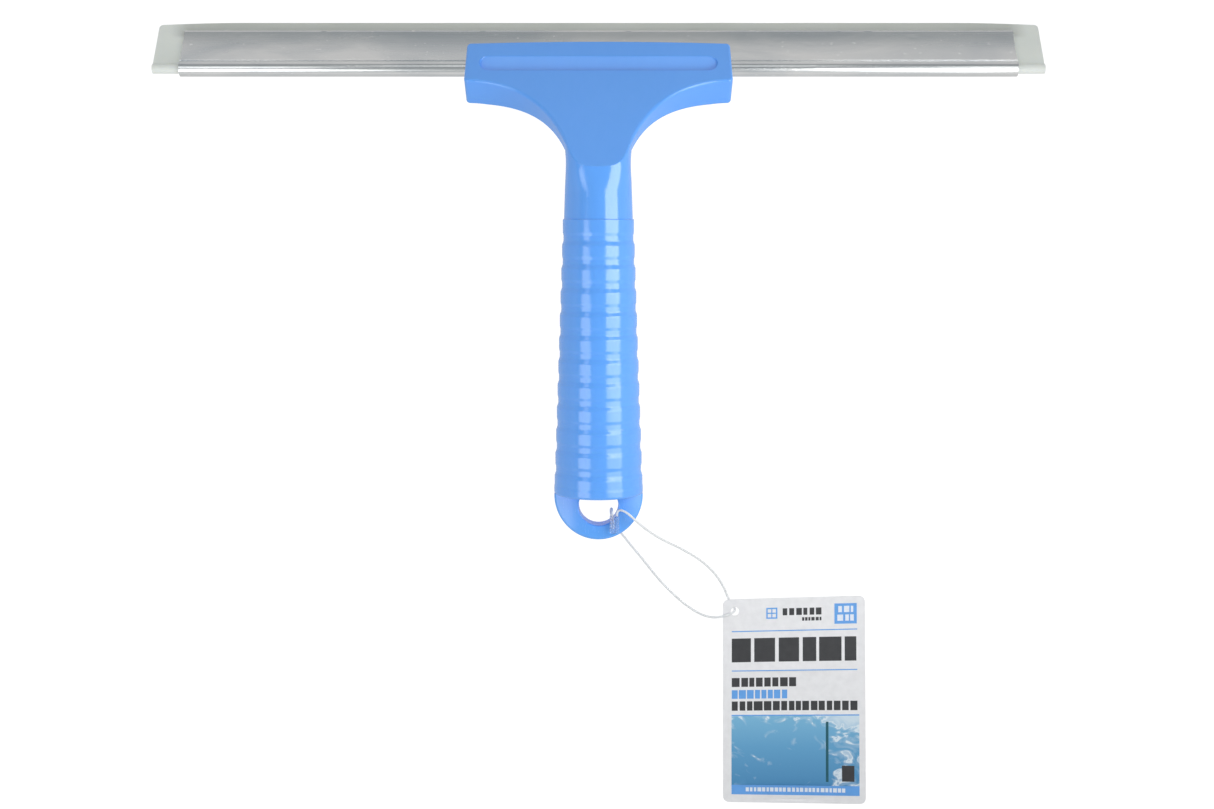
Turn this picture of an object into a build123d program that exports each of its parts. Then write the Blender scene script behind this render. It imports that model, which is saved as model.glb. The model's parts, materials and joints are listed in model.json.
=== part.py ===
from build123d import *
import math
import os

# A hand-held window squeegee lying on a table, blade towards +Y, with its swing tag beside it.
# Millimetres and degrees. The table is Z = 0, +X runs along the blade, +Z is up.
#
# Handle frame: Y runs along the grip from its loop end (Y = 0) to the head, Z is the handle's front.
# Head frame: X along the blade, Y down the head's flat face from its tip to the lip, Z out of the face.

# ---- driving dimensions: blade -------------------------------------------------------------
BLADE_LENGTH = 300.0          # rubber strip, end to end
CHANNEL_LENGTH = 281.5        # aluminium holder, end to end
LIP_AT = 65.1                 # head frame Y of the rubber's lip
CHANNEL_EDGE_AT = 60.7        # head frame Y of the holder's open edge
BEAD_AT = 45.15               # head frame Y of the bead's centre
BLADE_DEPTH = 5.3             # blade mid-plane below the head's flat face
BEAD_RADIUS = 2.6
CHANNEL_WALL = 0.9
VALLEY_HALF = 1.9             # half thickness of the holder next to its bead
FLANK_HALF = 1.8              # and at the middle of its hollowed flank
BAND_HALF = 2.2               # and at the lip band along its open edge
BAND_WIDTH = 5.2
LIP_BEVEL = (0.4, 0.25)       # back from the open edge, and down from the band
LIP_DROP = 0.65
RUBBER_THICKNESS = 1.7
RUBBER_CLEARANCE = 0.06       # running fit between the rubber and the holder
LIP_CORNER_CUT = 1.2          # the lip's two end corners are clipped at 45 degrees

# ---- driving dimensions: head --------------------------------------------------------------
BEND_ANGLE = 36.5             # between the grip's axis and the head's flat face
FACE_TIP_Y = 107.9            # handle frame Y where the flat face runs out into the neck
NECK_RADIUS = 10.6
HEAD_TOP_AT = 52.0            # head frame Y of the head's blade edge, at its ends
HEAD_TOP_BOW = 0.9            # how far that edge bows out at the centre
HEAD_HALF_TOP = 44.1
HEAD_HALF_BOTTOM = 44.6
HEAD_SHOULDER_AT = 35.4       # head frame Y of the head's lower corners
HEAD_THICKNESS = 11.8
HEAD_CORNER_RADIUS = 1.4
WING_THICKNESS = 5.2          # where the wings run into the neck
WING_FOOT_AT = 4.0            # head frame Y where the wings end inside the neck
WING_BACK_AT = (22.0, -7.0)   # a point on the wings' curved back: head frame Y and Z
HEAD_MARGIN = 1.0             # rough solids overshoot the head by this before they are cut
FLARE_END = (9.3, 5.0)        # head frame X and Y where each flare meets the neck
FLARE_PULLS = ((22.0, HEAD_SHOULDER_AT), (12.7, 17.6))
FACE_RIM_RADIUS = 0.9
BACK_RIM_RADIUS = 0.8
CONE_START_AT = 87.7          # the neck's round part starts inside the grip's last band
CONE_START_RADIUS = 11.4
CONE_END_AT = 98.0            # from here on its section grows squarer towards the head
CONE_END_RADIUS = 11.05
NECK_BACK_RADIUS = 24.0       # of the bend along the neck's back
FACE_END_RADIUS = 0.6         # softens the flat face's lower end, where it cuts the neck
SLOT_CLEARANCE = 0.04         # the holder in the head's slot

# ---- driving dimensions: thumb recess in the flat face -------------------------------------
RECESS_LENGTH = 79.4
RECESS_LOW = 39.75
RECESS_HIGH = 46.3
RECESS_DEPTH = 2.0
RECESS_LOWEST = 1.2           # the deepest line lies this far inside the lower edge
RECESS_FLOOR_RADIUS = 0.6
RECESS_OVERSHOOT = 3.0        # how far the cutting solid stands out of the face
RECESS_LOW_WALL = (0.6, 0.8)  # its lower wall leans: past the lower edge, and above the face

# ---- driving dimensions: grip --------------------------------------------------------------
GRIP_LENGTH = 90.7
GRIP_END_RADIUS = 14.66       # of the band nearest the loop
BAND_STEP = 0.27              # each band is that much slimmer than the one before it
COLLAR_RADIUS = 14.8
COLLAR_LENGTH = 2.4
GROOVE_COUNT = 11
GROOVE_PITCH = 7.63
GROOVE_FIRST_AT = 8.2
GROOVE_WIDTH = 4.1
GROOVE_DEPTH = 0.22           # below the slimmer of its two bands
LOOP_WALL = 1.4               # length of the groove's soft wall on the loop side
HEAD_WALL = 1.0               # and of the one on the head side
COLLAR_WALL = 0.9
GRIP_STEP = 0.25              # step down from the grip to the neck
GRIP_EDGE_RADIUS = 1.6
COLLAR_EDGE_RADIUS = 0.9
BORE_RADIUS = 11.6
BORE_LENGTH = 17.0
BORE_CHAMFER = 1.2            # from the bore down to the tapered cavity
CAVITY_END_AT = 84.0
CAVITY_END_RADIUS = 8.4

# ---- driving dimensions: loop plug ---------------------------------------------------------
LOOP_RADIUS = 14.75
LOOP_CENTRE_AT = -0.4         # short straight sides before the half round
LOOP_THICKNESS = 8.0          # at its centre line
LOOP_CROWN_RADIUS = 50.0      # curve across its front and back
LOOP_RIM_RADIUS = 1.0
HOLE_RADIUS = 6.6
HOLE_TOP_AT = -0.9
HOLE_BOTTOM_AT = -10.4
HOLE_CORNER_RADIUS = 1.1
HOLE_LIP_RADIUS = 0.5
PLUG_LENGTH = 14.0
PLUG_WALL = 1.8
PLUG_CLEARANCE = 0.05
SNAP_AT = 9.5
SNAP_HEIGHT = 0.35

# ---- driving dimensions: swing tag and its string ------------------------------------------
TAG_WIDTH = 48.4
TAG_HEIGHT = 70.0
TAG_THICKNESS = 0.4
TAG_CORNER_RADIUS = 2.0
TAG_HOLE_RADIUS = 1.45
TAG_HOLE_X = 46.6             # the tag's hole in the table's frame
TAG_HOLE_Y = -113.05
TAG_HOLE_INSET_X = 4.1        # from the tag's left edge
TAG_HOLE_INSET_Y = 4.2        # from the tag's top edge
TAG_UNDERSIDE_Z = 1.05        # the card rides on the string beneath it
STRING_DIAMETER = 0.8
LOCK_WIDTH = 3.2
LOCK_THICKNESS = 2.0
LOCK_LENGTH = 5.8
LOCK_STRAND_GAP = 1.6         # between the string's two ends at the lock
LOCK_MOUTH = (5.3, -79.8, 19.1)
LOCK_SLOPE = -5.0             # the lock lies on the loop's front
BARB_LENGTH = 2.6
BARB_RADIUS = 0.7
STEM_LENGTH = 1.4
ENTRY_CLEARANCE = 0.1
LOCK_EDGE_RADIUS = 0.6
LOCK_END_RADIUS = 0.4


# ---- frames --------------------------------------------------------------------------------
def head_plane():
    """The head's flat face, as a plane in the handle frame."""
    bend = math.radians(BEND_ANGLE)
    normal = (0, math.sin(bend), math.cos(bend))
    return Plane(origin=(0, FACE_TIP_Y, NECK_RADIUS), x_dir=(1, 0, 0), z_dir=normal)


def blade_section_plane():
    """Plane across the blade: its X is the head frame's Y, its Y is out of the flat face."""
    face = head_plane()
    mid = face.from_local_coords(Vector(0, 0, -BLADE_DEPTH))
    return Plane(origin=mid, x_dir=face.y_dir, z_dir=Vector(1, 0, 0))


def lie_angle():
    """Angle of the grip's axis to the table, with the grip's end and the lip both touching it."""
    lip = head_plane().from_local_coords(Vector(0, LIP_AT, -BLADE_DEPTH - RUBBER_THICKNESS / 2))
    return math.degrees(math.atan2(-COLLAR_RADIUS - lip.Z, lip.Y - COLLAR_LENGTH / 2))


def lay_down(parts):
    """Turns and moves every part from the handle frame to the table, centred over the origin."""
    turned = {}
    for name, part in parts.items():
        turned[name] = Rot(X=lie_angle()) * part
    boxes = [part.bounding_box() for part in turned.values()]
    low = Vector(*(min(getattr(box.min, axis) for box in boxes) for axis in "XYZ"))
    high = Vector(*(max(getattr(box.max, axis) for box in boxes) for axis in "XYZ"))
    shift = Pos(-(low.X + high.X) / 2, -(low.Y + high.Y) / 2, -low.Z)
    return {name: shift * part for name, part in turned.items()}


def superellipse(half_width, half_height, exponent):
    """Closed smooth curve between an ellipse (exponent 2) and a rounded rectangle."""
    count = 32
    points = []
    for index in range(count):
        angle = 2 * math.pi * index / count
        across = abs(math.cos(angle)) ** (2 / exponent)
        up = abs(math.sin(angle)) ** (2 / exponent)
        x = half_width * math.copysign(across, math.cos(angle))
        y = half_height * math.copysign(up, math.sin(angle))
        points.append((x, y))
    return Spline(*points, periodic=True)


# ---- blade ---------------------------------------------------------------------------------
def channel_outline(grow=0.0):
    """Outside of the holder's section: round bead, valley, hollowed flank and thicker lip band."""
    lip = CHANNEL_EDGE_AT
    band = BAND_HALF + grow
    valley = VALLEY_HALF + grow
    crest_at = lip - BAND_WIDTH
    valley_at = BEAD_AT + math.sqrt((BEAD_RADIUS + grow) ** 2 - valley**2)
    flank_middle = ((crest_at + valley_at) / 2, FLANK_HALF + grow)
    upper = Polyline((valley_at, 0), (valley_at, valley))
    flank_curve = ThreePointArc((valley_at, valley), flank_middle, (crest_at, band))
    bevel = (lip - LIP_BEVEL[0], band - LIP_BEVEL[1])
    edge = Polyline((crest_at, band), bevel, (lip, band - LIP_DROP), (lip, 0))
    half = make_face(Curve() + [upper, flank_curve, edge, Line((lip, 0), (valley_at, 0))])
    bead = Pos(BEAD_AT, 0) * Circle(BEAD_RADIUS + grow)
    return half + mirror(half, Plane.XZ) + bead


def channel_hollow():
    """Inside of the holder's section: bulb seat and the gap for the rubber's web."""
    gap = RUBBER_THICKNESS + 2 * RUBBER_CLEARANCE
    seat = Pos(BEAD_AT, 0) * Circle(BEAD_RADIUS - CHANNEL_WALL)
    past_edge = CHANNEL_EDGE_AT + 2
    web = Pos((BEAD_AT + past_edge) / 2, 0) * Rectangle(past_edge - BEAD_AT, gap)
    return seat + web


def along_blade(section, length):
    """Extrudes a section of the blade both ways from the middle."""
    return extrude(blade_section_plane() * section, amount=length / 2, both=True)


def blade_channel():
    return along_blade(channel_outline() - channel_hollow(), CHANNEL_LENGTH)


def rubber_blade():
    bulb_radius = BEAD_RADIUS - CHANNEL_WALL - RUBBER_CLEARANCE
    bulb = Pos(BEAD_AT, 0) * Circle(bulb_radius)
    web = Pos((BEAD_AT + LIP_AT) / 2, 0) * Rectangle(LIP_AT - BEAD_AT, RUBBER_THICKNESS)
    strip = along_blade(bulb + web, BLADE_LENGTH)
    corners = strip.edges().filter_by(lambda edge: is_lip_corner(edge))
    return chamfer(corners, LIP_CORNER_CUT)


def is_lip_corner(edge):
    """True for the two short edges across the strip's thickness at the lip's ends."""
    middle = head_plane().to_local_coords(edge.center())
    at_lip = abs(middle.Y - LIP_AT) < 0.01
    at_end = abs(abs(middle.X) - BLADE_LENGTH / 2) < 0.01
    return at_lip and at_end


# ---- handle --------------------------------------------------------------------------------
def band_radius(index):
    """Radius of a band of the grip, counted from the loop end."""
    return GRIP_END_RADIUS - BAND_STEP * index


def grip_profile_points():
    """Radius and length pairs down the outside of the grip, band by band."""
    points = [(COLLAR_RADIUS, 0), (COLLAR_RADIUS, COLLAR_LENGTH)]
    points.append((band_radius(0), COLLAR_LENGTH + COLLAR_WALL))
    for index in range(GROOVE_COUNT):
        low = GROOVE_FIRST_AT + index * GROOVE_PITCH - GROOVE_WIDTH / 2
        high = low + GROOVE_WIDTH
        floor = band_radius(index + 1) - GROOVE_DEPTH
        points.append((band_radius(index), low))
        points.append((floor, low + LOOP_WALL))
        points.append((floor, high - HEAD_WALL))
        points.append((band_radius(index + 1), high))
    top_radius = band_radius(GROOVE_COUNT)
    points.append((top_radius, GRIP_LENGTH))
    points.append((top_radius - GRIP_STEP, GRIP_LENGTH + GRIP_STEP))
    return points


def ribbed_grip():
    """The grip turned about its axis, with softened groove edges."""
    outside = grip_profile_points()
    top = outside[-1][1]
    face = make_face(Polyline(*outside, (0, top), (0, 0), close=True))
    soft = [v for v in face.vertices() if 0.1 < v.Y < GRIP_LENGTH - 0.1 and v.X > 1]
    face = fillet(soft, GRIP_EDGE_RADIUS)
    end = [v for v in face.vertices() if abs(v.X - COLLAR_RADIUS) < 0.01 and v.Y < 0.1]
    face = fillet(end, COLLAR_EDGE_RADIUS)
    return revolve(face, Axis.Y)


def neck_bend_start():
    """Where along the grip's axis the neck's back starts to bend towards the head's back."""
    bend = math.radians(BEND_ANGLE)
    head_back = HEAD_THICKNESS - 0.4
    corner = (2 * NECK_RADIUS * math.cos(bend) - head_back) / math.sin(bend)
    return FACE_TIP_Y + corner - NECK_BACK_RADIUS * math.tan(bend / 2)


def straight_neck_sections(*stations):
    """Square to the grip's axis: place along it, radius, and how squared the section is."""
    sections = []
    for along, radius, exponent in stations:
        plane = Plane(origin=(0, along, 0), x_dir=(1, 0, 0), z_dir=(0, -1, 0))
        sections.append(plane * make_face(superellipse(radius, radius, exponent)))
    return sections


def bent_neck_sections():
    """Round the bend and on under the head: share of the bend, half width, half height, run past it."""
    stations = [
        (0.33, 11.4, 10.0, 0),
        (0.66, 12.8, 7.8, 0),
        (1.0, 15.5, 6.8, 0),
        (1.0, 21.0, 6.4, 9),
    ]
    sections = []
    for share, half_width, half_height, beyond in stations:
        angle = math.radians(BEND_ANGLE) * share
        ahead = Vector(0, math.cos(angle), -math.sin(angle))
        up = Vector(0, math.sin(angle), math.cos(angle))
        pivot = Vector(0, neck_bend_start(), -NECK_RADIUS - NECK_BACK_RADIUS)
        centre = pivot + up * (NECK_BACK_RADIUS + half_height) + ahead * beyond
        plane = Plane(origin=centre, x_dir=(1, 0, 0), z_dir=-ahead)
        sections.append(plane * make_face(superellipse(half_width, half_height, 3.1)))
    return sections


def neck():
    """Gooseneck from the grip, round at first, that ends under the head and is cut by its face."""
    face = head_plane()
    above_face = face * Box(200, 300, 60, align=(Align.CENTER, Align.CENTER, Align.MIN))
    cone_end = (CONE_END_AT, CONE_END_RADIUS, 2.0)
    cone = loft(straight_neck_sections((CONE_START_AT, CONE_START_RADIUS, 2.0), cone_end), ruled=True)
    squaring = straight_neck_sections(
        cone_end,
        (CONE_END_AT + 3, NECK_RADIUS + 0.35, 2.1),
        (FACE_TIP_Y - 3, NECK_RADIUS + 0.15, 2.6),
        (FACE_TIP_Y + 2.6, NECK_RADIUS + 0.05, 2.9),
    )
    cut = cone + loft(squaring + bent_neck_sections()) - above_face
    on_face = cut.edges().filter_by(lambda edge: abs(face.to_local_coords(edge.center()).Z) < 0.01)
    return fillet(on_face, FACE_END_RADIUS)


def head_outline():
    """The flat face seen square on: bowed blade edge, shoulders, and flares down to the neck."""
    top = ThreePointArc(
        (-HEAD_HALF_TOP, HEAD_TOP_AT), (0, HEAD_TOP_AT + HEAD_TOP_BOW), (HEAD_HALF_TOP, HEAD_TOP_AT)
    )
    side = Line((HEAD_HALF_TOP, HEAD_TOP_AT), (HEAD_HALF_BOTTOM, HEAD_SHOULDER_AT))
    flare = Bezier((HEAD_HALF_BOTTOM, HEAD_SHOULDER_AT), *FLARE_PULLS, FLARE_END)
    right = Curve() + [side, flare]
    left = mirror(right, Plane.YZ)
    foot = Line((-FLARE_END[0], FLARE_END[1]), FLARE_END)
    outline = make_face(Curve() + [top, *right.edges(), *left.edges(), foot])
    corners = [v for v in outline.vertices() if abs(v.X) > HEAD_HALF_TOP - 1]
    return fillet(corners, HEAD_CORNER_RADIUS)


def head_side_profile():
    """Side view of the head, X down the face and Y out of it: thick head, wings thinning down."""
    back = -HEAD_THICKNESS
    foot = (WING_FOOT_AT, -WING_THICKNESS)
    shoulder = (HEAD_SHOULDER_AT, back)
    top = HEAD_TOP_AT + HEAD_TOP_BOW + HEAD_MARGIN
    curve = ThreePointArc(shoulder, WING_BACK_AT, foot)
    rest = Polyline(foot, (WING_FOOT_AT, 0), (top, 0), (top, back), shoulder)
    return make_face(Curve() + [curve, rest])


def across_head():
    """Plane for side views of the head: its X runs down the face, its Y out of it."""
    return Plane(origin=(0, 0, 0), x_dir=(0, 1, 0), z_dir=(1, 0, 0))


def head_block():
    """The head and its wings, in the head frame, with softened rims."""
    plan = extrude(head_outline(), amount=-HEAD_THICKNESS - HEAD_MARGIN)
    half_width = HEAD_HALF_BOTTOM + HEAD_MARGIN
    side = extrude(across_head() * head_side_profile(), amount=half_width, both=True)
    block = plan & side
    outer = block.edges().filter_by(lambda edge: edge.center().Y > FLARE_END[1] + 1)
    rim = outer.filter_by(lambda edge: abs(edge.center().Z) < 0.01)
    block = fillet(rim, FACE_RIM_RADIUS)
    outer = block.edges().filter_by(lambda edge: edge.center().Y > FLARE_END[1] + 1)
    back_rim = outer.filter_by(lambda edge: edge.center().Z < -3 and not is_upright(edge))
    return fillet(back_rim, BACK_RIM_RADIUS)


def is_upright(edge):
    """True for an edge that runs square to the flat face."""
    return abs((edge @ 1 - edge @ 0).Z) > 0.9 * edge.length


def thumb_recess():
    """Pill-shaped hollow in the flat face, deepest along its lower edge."""
    height = RECESS_HIGH - RECESS_LOW
    pill = Pos(0, (RECESS_HIGH + RECESS_LOW) / 2) * SlotOverall(RECESS_LENGTH, height)
    above = RECESS_OVERSHOOT
    past, rise = RECESS_LOW_WALL
    slope = RECESS_DEPTH / (height - RECESS_LOWEST)
    wedge = make_face(
        Polyline(
            (RECESS_HIGH + above / slope, above),
            (RECESS_LOW + RECESS_LOWEST, -RECESS_DEPTH),
            (RECESS_LOW - past, rise),
            (RECESS_LOW - past, above),
            close=True,
        )
    )
    hollow = extrude(pill, amount=above * 2, both=True) & extrude(
        across_head() * wedge, amount=RECESS_LENGTH, both=True
    )
    floor = [e for e in hollow.edges() if e.center().Z < RECESS_LOW_WALL[1] / 4]
    return fillet(floor, RECESS_FLOOR_RADIUS)


def handle_cavity():
    """The grip's hollow core: a plain bore for the plug, then a taper to a rounded end."""
    profile = Polyline(
        (0, -1),
        (BORE_RADIUS, -1),
        (BORE_RADIUS, BORE_LENGTH),
        (BORE_RADIUS - BORE_CHAMFER, BORE_LENGTH + BORE_CHAMFER),
        (CAVITY_END_RADIUS, CAVITY_END_AT),
        (0, CAVITY_END_AT),
        close=True,
    )
    face = make_face(profile)
    end = [v for v in face.vertices() if v.X > 1 and abs(v.Y - CAVITY_END_AT) < 0.01]
    core = revolve(fillet(end, CAVITY_END_RADIUS * 0.7), Axis.Y)
    return core + snap_ring(SNAP_HEIGHT + PLUG_CLEARANCE)


def snap_ring(height):
    """Rounded ring round the bore that the plug's bead snaps into."""
    width = 1.2
    ring = Polyline(
        (BORE_RADIUS - 1, SNAP_AT - width),
        (BORE_RADIUS, SNAP_AT - width),
        (BORE_RADIUS + height, SNAP_AT - 0.3),
        (BORE_RADIUS + height, SNAP_AT + 0.3),
        (BORE_RADIUS, SNAP_AT + width),
        (BORE_RADIUS - 1, SNAP_AT + width),
        close=True,
    )
    return revolve(make_face(ring), Axis.Y)


def handle_body():
    face = head_plane()
    body = neck() + face.location * head_block() + ribbed_grip()
    body = body - handle_cavity()
    body = body - along_blade(channel_outline(SLOT_CLEARANCE), HEAD_HALF_BOTTOM * 2 + 10)
    body = body - face.location * thumb_recess()
    return body


# ---- loop plug -----------------------------------------------------------------------------
def loop_tab():
    """Half-round tab, crowned front and back, with a D-shaped hanging hole."""
    left = (-LOOP_RADIUS, LOOP_CENTRE_AT)
    right = (LOOP_RADIUS, LOOP_CENTRE_AT)
    arc = ThreePointArc(left, (0, LOOP_CENTRE_AT - LOOP_RADIUS), right)
    rest = Polyline(right, (LOOP_RADIUS, 0), (-LOOP_RADIUS, 0), left)
    outline = make_face(Curve() + [arc, rest])
    tab = extrude(outline, amount=LOOP_THICKNESS, both=True)
    crown = crowned_bar()
    tab = tab & crown
    rim = [e for e in tab.edges() if e.center().Y < -0.1]
    tab = fillet(rim, LOOP_RIM_RADIUS)
    hole = extrude(hanging_hole(), amount=LOOP_THICKNESS, both=True)
    tab = tab - hole
    lips = [e for e in tab.edges() if on_hole_lip(e)]
    return fillet(lips, HOLE_LIP_RADIUS)


def crowned_bar():
    """Bar along the grip's axis whose front and back are shallow curves."""
    drop = LOOP_CROWN_RADIUS - LOOP_THICKNESS / 2
    across = Plane(origin=(0, 1, 0), x_dir=(1, 0, 0), z_dir=(0, 1, 0))
    lens = Pos(0, -drop) * Circle(LOOP_CROWN_RADIUS) & Pos(0, drop) * Circle(LOOP_CROWN_RADIUS)
    return extrude(across * lens, amount=LOOP_RADIUS + 3, dir=(0, -1, 0))


def hanging_hole():
    """D-shaped hole: a circle cut off flat towards the grip, with rounded corners."""
    centre_at = HOLE_BOTTOM_AT + HOLE_RADIUS
    below_top = Pos(0, HOLE_TOP_AT) * Rectangle(40, 40, align=(Align.CENTER, Align.MAX))
    hole = Pos(0, centre_at) * Circle(HOLE_RADIUS) & below_top
    return fillet(hole.vertices(), HOLE_CORNER_RADIUS)


def on_hole_lip(edge):
    """True for the hole's front and back edges, which lie off the tab's mid-plane."""
    middle = edge.center()
    inside = abs(middle.X) < HOLE_RADIUS + 0.2 and HOLE_BOTTOM_AT - 0.2 < middle.Y < HOLE_TOP_AT + 0.2
    return inside and abs(middle.Z) > LOOP_THICKNESS / 4


def plug_stub():
    """Hollow stub that fills the grip's bore, closed where it meets the tab."""
    outside = BORE_RADIUS - PLUG_CLEARANCE
    inside = outside - PLUG_WALL
    profile = Polyline(
        (0, 0),
        (outside, 0),
        (outside, PLUG_LENGTH - 1),
        (outside - 1, PLUG_LENGTH),
        (inside, PLUG_LENGTH),
        (inside, PLUG_WALL),
        (0, PLUG_WALL),
        close=True,
    )
    return revolve(make_face(profile), Axis.Y) + snap_ring(SNAP_HEIGHT)


def hang_loop_plug():
    """Tab and stub in one moulding, whose bead snaps into the grip's bore."""
    return loop_tab() + plug_stub()


# ---- swing tag, string and lock: already in the table's frame -------------------------------
def swing_tag():
    left = TAG_HOLE_X - TAG_HOLE_INSET_X
    top = TAG_HOLE_Y + TAG_HOLE_INSET_Y
    card = Pos(left + TAG_WIDTH / 2, top - TAG_HEIGHT / 2) * RectangleRounded(
        TAG_WIDTH, TAG_HEIGHT, TAG_CORNER_RADIUS
    )
    card = card - Pos(TAG_HOLE_X, TAG_HOLE_Y) * Circle(TAG_HOLE_RADIUS)
    return Pos(0, 0, TAG_UNDERSIDE_Z) * extrude(card, amount=TAG_THICKNESS)


def lock_plane():
    """Lock frame: origin in the middle of its mouth, X across, Y into the lock."""
    slope = math.radians(LOCK_SLOPE)
    inward = Vector(0, -math.cos(slope), math.sin(slope))
    up = Vector(0, math.sin(slope), math.cos(slope))
    return Plane(origin=LOCK_MOUTH, x_dir=inward.cross(up), z_dir=up)


def lock_point(across, inward):
    """A point on the lock's centre plane, in the table's frame."""
    return lock_plane().from_local_coords(Vector(across, inward, 0))


def string_route():
    """The loop from one strand's end at the lock, round the tag's hole and back."""
    half_gap = LOCK_STRAND_GAP / 2
    return [
        lock_point(-half_gap, 0),
        lock_point(-half_gap, -1.2),
        (7.0, -77.6, 19.2),
        (9.3, -78.5, 19.4),
        (12.4, -81.4, 19.0),
        (16.4, -84.9, 17.1),
        (21.8, -88.4, 13.2),
        (27.7, -91.4, 9.0),
        (34.7, -95.7, 4.6),
        (40.0, -100.8, 1.5),
        (42.9, -105.4, 0.45),
        (44.3, -109.2, 0.45),
        (46.4, -112.3, 0.5),
        (46.7, -113.6, 2.1),
        (43.6, -114.9, 2.25),
        (39.4, -115.9, 2.15),
        (34.2, -114.6, 0.45),
        (28.1, -110.3, 0.45),
        (21.2, -103.6, 0.5),
        (15.2, -96.0, 1.1),
        (11.0, -90.9, 2.2),
        (7.6, -86.6, 4.0),
        (5.0, -82.7, 6.4),
        (4.1, -79.4, 9.4),
        (4.1, -77.8, 12.9),
        (4.4, -77.5, 16.3),
        lock_point(half_gap, -1.6),
        lock_point(half_gap, 0),
    ]


def corner_radii(points):
    """Largest arc each corner's two runs allow: 0.45 of the shorter run over tan(half the turn)."""
    radii = []
    for before, corner, after in zip(points, points[1:], points[2:]):
        arrive = corner - before
        leave = after - corner
        turn = math.radians(arrive.get_angle(leave))
        shorter = min(arrive.length, leave.length)
        radii.append(0.45 * shorter / math.tan(turn / 2))
    return radii


def tag_string():
    points = [Vector(*point) if isinstance(point, tuple) else point for point in string_route()]
    radii = corner_radii(points)
    path = FilletPolyline(*points, radius=radii)
    start = Plane(origin=points[0], z_dir=points[1] - points[0])
    tube = sweep(start * Circle(STRING_DIAMETER / 2), path=path)
    section = math.pi * STRING_DIAMETER**2 / 4
    print("string length", round(path.length, 1))
    print("string volume ratio", round(tube.volume / (section * path.length), 4))
    print("string radii", [round(radius, 1) for radius in radii])
    return tube


def string_lock():
    """Clear socket: rounded block with an arrow chamber behind one strand's entry."""
    block = Box(LOCK_WIDTH, LOCK_LENGTH, LOCK_THICKNESS, align=(Align.CENTER, Align.MIN, Align.CENTER))
    long_edges = [e for e in block.edges() if abs((e @ 1 - e @ 0).Y) > 1]
    block = fillet(long_edges, LOCK_EDGE_RADIUS)
    far_rim = block.faces().sort_by(Axis.Y)[-1].edges()
    block = fillet(far_rim, LOCK_END_RADIUS)
    entry = inward_pin(STRING_DIAMETER / 2 + ENTRY_CLEARANCE, -ENTRY_CLEARANCE, STEM_LENGTH + 0.2)
    chamber = inward_pin(BARB_RADIUS + ENTRY_CLEARANCE, STEM_LENGTH - 0.2, STEM_LENGTH + BARB_LENGTH + 0.2)
    return lock_plane().location * (block - entry - chamber)


def inward_pin(radius, start, end):
    """Cylinder in the lock frame that runs inward from start to end behind one strand's entry."""
    across = Plane(origin=(LOCK_STRAND_GAP / 2, start, 0), z_dir=(0, 1, 0))
    return extrude(across * Circle(radius), amount=end - start)


def string_barb():
    """Arrow tip and its short stem, which fill the lock's entry and chamber."""
    stem = inward_pin(STRING_DIAMETER / 2, 0, STEM_LENGTH)
    middle = STEM_LENGTH + BARB_LENGTH / 2
    arrow = Pos(LOCK_STRAND_GAP / 2, middle, 0) * Rot(X=-90) * Cone(BARB_RADIUS, 0.2, BARB_LENGTH)
    return lock_plane().location * (stem + arrow)


# ---- write every piece -----------------------------------------------------------------------
def main():
    os.makedirs("parts", exist_ok=True)
    parts = lay_down(
        {
            "handle_body": handle_body(),
            "hang_loop_plug": hang_loop_plug(),
            "blade_channel": blade_channel(),
            "rubber_blade": rubber_blade(),
        }
    )
    parts["swing_tag"] = swing_tag()
    parts["tag_string"] = tag_string()
    parts["string_lock"] = string_lock()
    parts["string_barb"] = string_barb()
    for name, part in parts.items():
        export_step(part, os.path.join("parts", name + ".step"))
        box = part.bounding_box()
        print(name, [round(v, 2) for v in (*box.min, *box.max)], "solids", len(part.solids()))


main()
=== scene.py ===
"""Looks of a hand-held window squeegee with its swing tag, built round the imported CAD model.

Everything is in metres in the model's own frame: the table is Z = 0, +X runs along the blade,
+Y points from the grip's loop to the blade, +Z is up. Sizes below are written as n * MM.
"""

import json
import math
import random

import bmesh
import bpy
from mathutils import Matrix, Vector, noise
from mathutils.geometry import delaunay_2d_cdt


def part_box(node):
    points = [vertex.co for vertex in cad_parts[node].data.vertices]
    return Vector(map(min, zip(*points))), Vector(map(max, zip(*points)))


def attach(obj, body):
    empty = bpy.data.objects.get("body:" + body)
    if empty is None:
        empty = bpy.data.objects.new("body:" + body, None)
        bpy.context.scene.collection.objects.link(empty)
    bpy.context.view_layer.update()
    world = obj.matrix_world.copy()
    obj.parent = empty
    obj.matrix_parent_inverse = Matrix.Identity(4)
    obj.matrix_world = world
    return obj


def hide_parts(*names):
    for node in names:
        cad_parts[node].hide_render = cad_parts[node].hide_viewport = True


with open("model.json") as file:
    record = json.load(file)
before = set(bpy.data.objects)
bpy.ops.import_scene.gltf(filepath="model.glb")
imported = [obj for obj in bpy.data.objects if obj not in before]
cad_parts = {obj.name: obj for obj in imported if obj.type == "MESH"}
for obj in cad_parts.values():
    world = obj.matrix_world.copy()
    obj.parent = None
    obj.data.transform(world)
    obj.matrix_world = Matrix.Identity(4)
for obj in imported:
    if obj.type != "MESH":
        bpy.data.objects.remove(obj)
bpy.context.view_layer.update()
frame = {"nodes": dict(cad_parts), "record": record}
MM = 0.001
TABLE_Z = 0.0


# ---- camera ----------------------------------------------------------------------------------
CAMERA_AT = (2.82 * MM, -42.85 * MM, 555 * MM)
CAMERA_LENS = 47.98


def add_camera():
    """Looks straight down, with the blade level across the top of the picture."""
    data = bpy.data.cameras.new("camera")
    data.lens = CAMERA_LENS
    data.sensor_width = 36
    camera = bpy.data.objects.new("camera", data)
    camera.location = CAMERA_AT
    bpy.context.scene.collection.objects.link(camera)
    bpy.context.scene.camera = camera


add_camera()


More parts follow.
